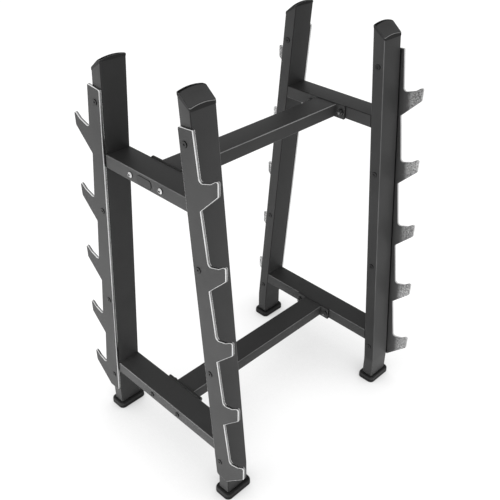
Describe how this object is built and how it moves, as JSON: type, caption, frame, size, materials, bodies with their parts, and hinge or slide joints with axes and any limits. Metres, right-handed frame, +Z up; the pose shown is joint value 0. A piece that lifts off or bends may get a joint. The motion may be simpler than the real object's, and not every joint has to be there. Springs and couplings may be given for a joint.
{
  "type": "barbell storage rack",
  "caption": "Free-standing barbell storage rack: A-shaped end frames of steel tube joined by bolted spreaders, with a hooked cradle plate on the outer face of every leg.",
  "frame": {"origin": "on the floor under the middle of the rack, halfway between the end frames and halfway between the front and back feet", "axes": "+X along the stored bars and the spreaders, from the left end frame to the right one; +Y from the front legs to the back legs; +Z up"},
  "size_m": [1.03, 0.906, 1.5899],
  "materials": {
    "coated_tube": "satin charcoal powder coat",
    "hook_plates": "satin dark grey coat with bright cut edges",
    "black_fasteners": "black oxide",
    "zinc_bolts": "bright zinc plate",
    "plastic_caps": "fine grained moulding",
    "rubber_feet": "matt"
  },
  "bodies": {
    "root": {"left_front_upright": "coated_tube", "left_front_foot": "rubber_feet", "left_front_cap": "plastic_caps", "left_front_hook_plate": "hook_plates", "left_front_plate_fixing_1": "black_fasteners", "left_front_plate_fixing_2": "black_fasteners", "left_front_plate_fixing_3": "black_fasteners", "left_front_plate_fixing_4": "black_fasteners", "left_back_upright": "coated_tube", "left_back_foot": "rubber_feet", "left_back_cap": "plastic_caps", "left_back_hook_plate": "hook_plates", "left_back_plate_fixing_1": "black_fasteners", "left_back_plate_fixing_2": "black_fasteners", "left_back_plate_fixing_3": "black_fasteners", "left_back_plate_fixing_4": "black_fasteners", "left_upper_crossmember": "coated_tube", "left_upper_flange": "coated_tube", "left_upper_front_bolt": "zinc_bolts", "left_upper_front_nut": "black_fasteners", "left_upper_back_bolt": "zinc_bolts", "left_upper_back_nut": "black_fasteners", "left_lower_crossmember": "coated_tube", "left_lower_flange": "coated_tube", "left_lower_front_bolt": "black_fasteners", "left_lower_front_nut": "black_fasteners", "left_lower_back_bolt": "black_fasteners", "left_lower_back_nut": "black_fasteners", "right_front_upright": "coated_tube", "right_front_foot": "rubber_feet", "right_front_cap": "plastic_caps", "right_front_hook_plate": "hook_plates", "right_front_plate_fixing_1": "black_fasteners", "right_front_plate_fixing_2": "black_fasteners", "right_front_plate_fixing_3": "black_fasteners", "right_front_plate_fixing_4": "black_fasteners", "right_back_upright": "coated_tube", "right_back_foot": "rubber_feet", "right_back_cap": "plastic_caps", "right_back_hook_plate": "hook_plates", "right_back_plate_fixing_1": "black_fasteners", "right_back_plate_fixing_2": "black_fasteners", "right_back_plate_fixing_3": "black_fasteners", "right_back_plate_fixing_4": "black_fasteners", "right_upper_crossmember": "coated_tube", "right_upper_flange": "coated_tube", "right_upper_front_bolt": "black_fasteners", "right_upper_front_nut": "black_fasteners", "right_upper_back_bolt": "black_fasteners", "right_upper_back_nut": "black_fasteners", "right_lower_crossmember": "coated_tube", "right_lower_flange": "coated_tube", "right_lower_front_bolt": "black_fasteners", "right_lower_front_nut": "black_fasteners", "right_lower_back_bolt": "black_fasteners", "right_lower_back_nut": "black_fasteners", "upper_spreader": "coated_tube", "lower_spreader": "coated_tube"}
  },
  "joints": []
}
